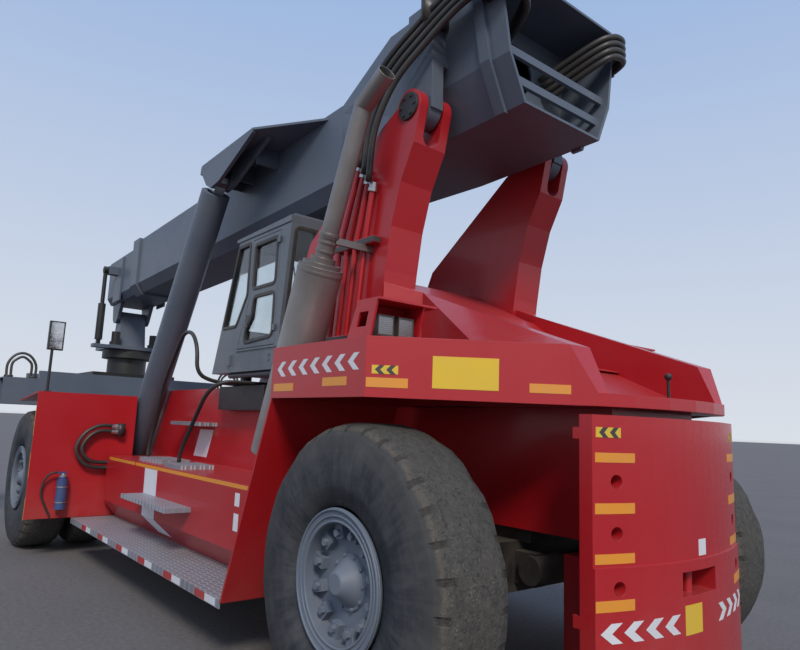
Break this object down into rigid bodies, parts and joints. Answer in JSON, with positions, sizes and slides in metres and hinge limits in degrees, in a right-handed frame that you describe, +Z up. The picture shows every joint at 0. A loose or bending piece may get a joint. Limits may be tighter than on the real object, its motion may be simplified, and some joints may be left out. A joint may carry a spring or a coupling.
{
  "type": "container reach stacker",
  "caption": "Mobile container handler with a telescopic boom, a slewing top-lift spreader, a central cab, dual drive wheels and steered rear wheels.",
  "frame": {"origin": "on the ground under the middle of the whole machine", "axes": "+X forward, the way the boom points, +Y to the driver's left, +Z up"},
  "size_m": [11.839, 6.058, 4.8373],
  "materials": {
    "black_paint": "satin",
    "black_plastic": "matt",
    "bottle_blue": "gloss",
    "cab_paint": "satin",
    "cylinder_chrome": "oiled",
    "exhaust_alloy": "heat dulled",
    "galvanised": "worn tread plate",
    "glass": "clear",
    "lamp_lens": "clear lens",
    "red_paint": "weathered gloss",
    "rim_paint": "dull satin",
    "rubber": "matt",
    "seat_fabric": "woven",
    "slate_paint": "weathered satin",
    "tyre": "worn and dusty"
  },
  "bodies": {
    "chassis": {"main_frame": "red_paint", "side_tanks": "red_paint", "footboards": "galvanised", "front_fenders": "red_paint", "rear_deck": "red_paint", "rear_skirts": "red_paint", "rear_hood": "red_paint", "counterweight": "red_paint", "boom_post_left": "red_paint", "boom_post_right": "red_paint", "drive_axle": "black_paint", "steer_axle": "black_paint", "engine_block": "black_paint", "body_covers": "red_paint", "exhaust": "exhaust_alloy", "post_pipes": "red_paint", "handrails": "black_paint", "step_treads": "galvanised", "mirrors": "black_paint", "extinguisher": "bottle_blue", "lamp_boxes": "red_paint", "valve_block": "black_paint", "cab_base": "cab_paint", "cab_frame": "cab_paint", "cab_roof": "cab_paint", "cab_glass": "glass", "cab_seat": "seat_fabric", "cab_controls": "black_plastic", "cylinder_feet": "red_paint", "hood_ridges": "red_paint", "fender_hoses": "rubber", "work_lamps": "lamp_lens", "marker_pole": "black_paint"},
    "boom": {"outer_boom": "slate_paint", "boom_brackets": "slate_paint", "boom_hoses": "rubber"},
    "boom_inner": {"inner_boom": "slate_paint"},
    "head": {"head_yoke": "slate_paint", "head_dampers": "black_paint"},
    "slewing": {"rotator": "black_paint"},
    "spreader": {"spreader_frame": "slate_paint", "spreader_hoses": "rubber"},
    "beam_left": {"spreader_beam_left": "slate_paint"},
    "beam_right": {"spreader_beam_right": "slate_paint"},
    "lift_barrel_left": {"lift_barrel_left": "slate_paint"},
    "lift_barrel_right": {"lift_barrel_right": "slate_paint"},
    "lift_rod_left": {"lift_rod_left": "cylinder_chrome"},
    "lift_rod_right": {"lift_rod_right": "cylinder_chrome"},
    "door": {"cab_door": "cab_paint", "cab_door_glass": "glass"},
    "knuckle_left": {"knuckle_left": "black_paint"},
    "knuckle_right": {"knuckle_right": "black_paint"},
    "rear_wheel_left": {"rear_rim_left": "rim_paint", "rear_tyre_left": "tyre"},
    "rear_wheel_right": {"rear_rim_right": "rim_paint", "rear_tyre_right": "tyre"},
    "front_wheel_left": {"front_rims_left": "rim_paint", "front_tyres_left": "tyre"},
    "front_wheel_right": {"front_rims_right": "rim_paint", "front_tyres_right": "tyre"}
  },
  "joints": [
    {"name": "front_wheel_left_spin", "type": "hinge", "parent": "chassis", "child": "front_wheel_left", "pos_m": [1.7005, 1.23, 0.83], "axis": [0, 1, 0], "continuous": true},
    {"name": "front_wheel_right_spin", "type": "hinge", "parent": "chassis", "child": "front_wheel_right", "pos_m": [1.7005, -1.23, 0.83], "axis": [0, 1, 0], "continuous": true},
    {"name": "steer_left", "type": "hinge", "parent": "chassis", "child": "knuckle_left", "pos_m": [-4.7995, 1.18, 0.83], "axis": [0, 0, 1], "range_deg": [-45, 45]},
    {"name": "steer_right", "type": "hinge", "parent": "chassis", "child": "knuckle_right", "pos_m": [-4.7995, -1.18, 0.83], "axis": [0, 0, 1], "range_deg": [-45, 45]},
    {"name": "rear_wheel_left_spin", "type": "hinge", "parent": "knuckle_left", "child": "rear_wheel_left", "pos_m": [-4.7995, 1.393, 0.83], "axis": [0, 1, 0], "continuous": true},
    {"name": "rear_wheel_right_spin", "type": "hinge", "parent": "knuckle_right", "child": "rear_wheel_right", "pos_m": [-4.7995, -1.393, 0.83], "axis": [0, 1, 0], "continuous": true},
    {"name": "boom_lift", "type": "hinge", "parent": "chassis", "child": "boom", "pos_m": [-4.2995, 0, 3.93], "axis": [0, -1, 0], "range_deg": [0, 57]},
    {"name": "boom_extend", "type": "slide", "parent": "boom", "child": "boom_inner", "axis": [0.9997, 0, -0.0244], "range_m": [0, 6.2]},
    {"name": "head_level", "type": "hinge", "parent": "boom_inner", "child": "head", "pos_m": [4.7005, 0, 3.42], "axis": [0, -1, 0], "range_deg": [-57, 0]},
    {"name": "spreader_slew", "type": "hinge", "parent": "head", "child": "slewing", "pos_m": [4.7005, 0, 2.4], "axis": [0, 0, 1], "range_deg": [-95, 185]},
    {"name": "side_shift", "type": "slide", "parent": "slewing", "child": "spreader", "axis": [0, -1, 0], "range_m": [-0.8, 0.8]},
    {"name": "beam_left_out", "type": "slide", "parent": "spreader", "child": "beam_left", "axis": [0, 1, 0], "range_m": [0, 3.066]},
    {"name": "beam_right_out", "type": "slide", "parent": "spreader", "child": "beam_right", "axis": [0, -1, 0], "range_m": [0, 3.066]},
    {"name": "lift_barrel_left_swing", "type": "hinge", "parent": "chassis", "child": "lift_barrel_left", "pos_m": [1.3505, 0.79, 1], "axis": [0, -1, 0], "range_deg": [0, 1.18]},
    {"name": "lift_rod_left_slide", "type": "slide", "parent": "lift_barrel_left", "child": "lift_rod_left", "axis": [-0.5443, 0, 0.8389], "range_m": [0, 3.3351]},
    {"name": "lift_barrel_right_swing", "type": "hinge", "parent": "chassis", "child": "lift_barrel_right", "pos_m": [1.3505, -0.79, 1], "axis": [0, -1, 0], "range_deg": [0, 1.18]},
    {"name": "lift_rod_right_slide", "type": "slide", "parent": "lift_barrel_right", "child": "lift_rod_right", "axis": [-0.5443, 0, 0.8389], "range_m": [0, 3.3351]},
    {"name": "cab_door_swing", "type": "hinge", "parent": "chassis", "child": "door", "pos_m": [-2.3195, 0.765, 2.8], "axis": [0, 0, 1], "range_deg": [0, 90]}
  ],
  "couplings": [
    {"joint": "steer_right", "follows": "steer_left", "ratio": 1},
    {"joint": "head_level", "follows": "boom_lift", "ratio": -1},
    {"joint": "beam_right_out", "follows": "beam_left_out", "ratio": 1},
    {"joint": "lift_barrel_left_swing", "follows": "boom_lift", "ratio": 0.020636},
    {"joint": "lift_rod_left_slide", "follows": "boom_lift", "m_per_rad": 3.3523},
    {"joint": "lift_barrel_right_swing", "follows": "boom_lift", "ratio": 0.020636},
    {"joint": "lift_rod_right_slide", "follows": "boom_lift", "m_per_rad": 3.3523}
  ]
}
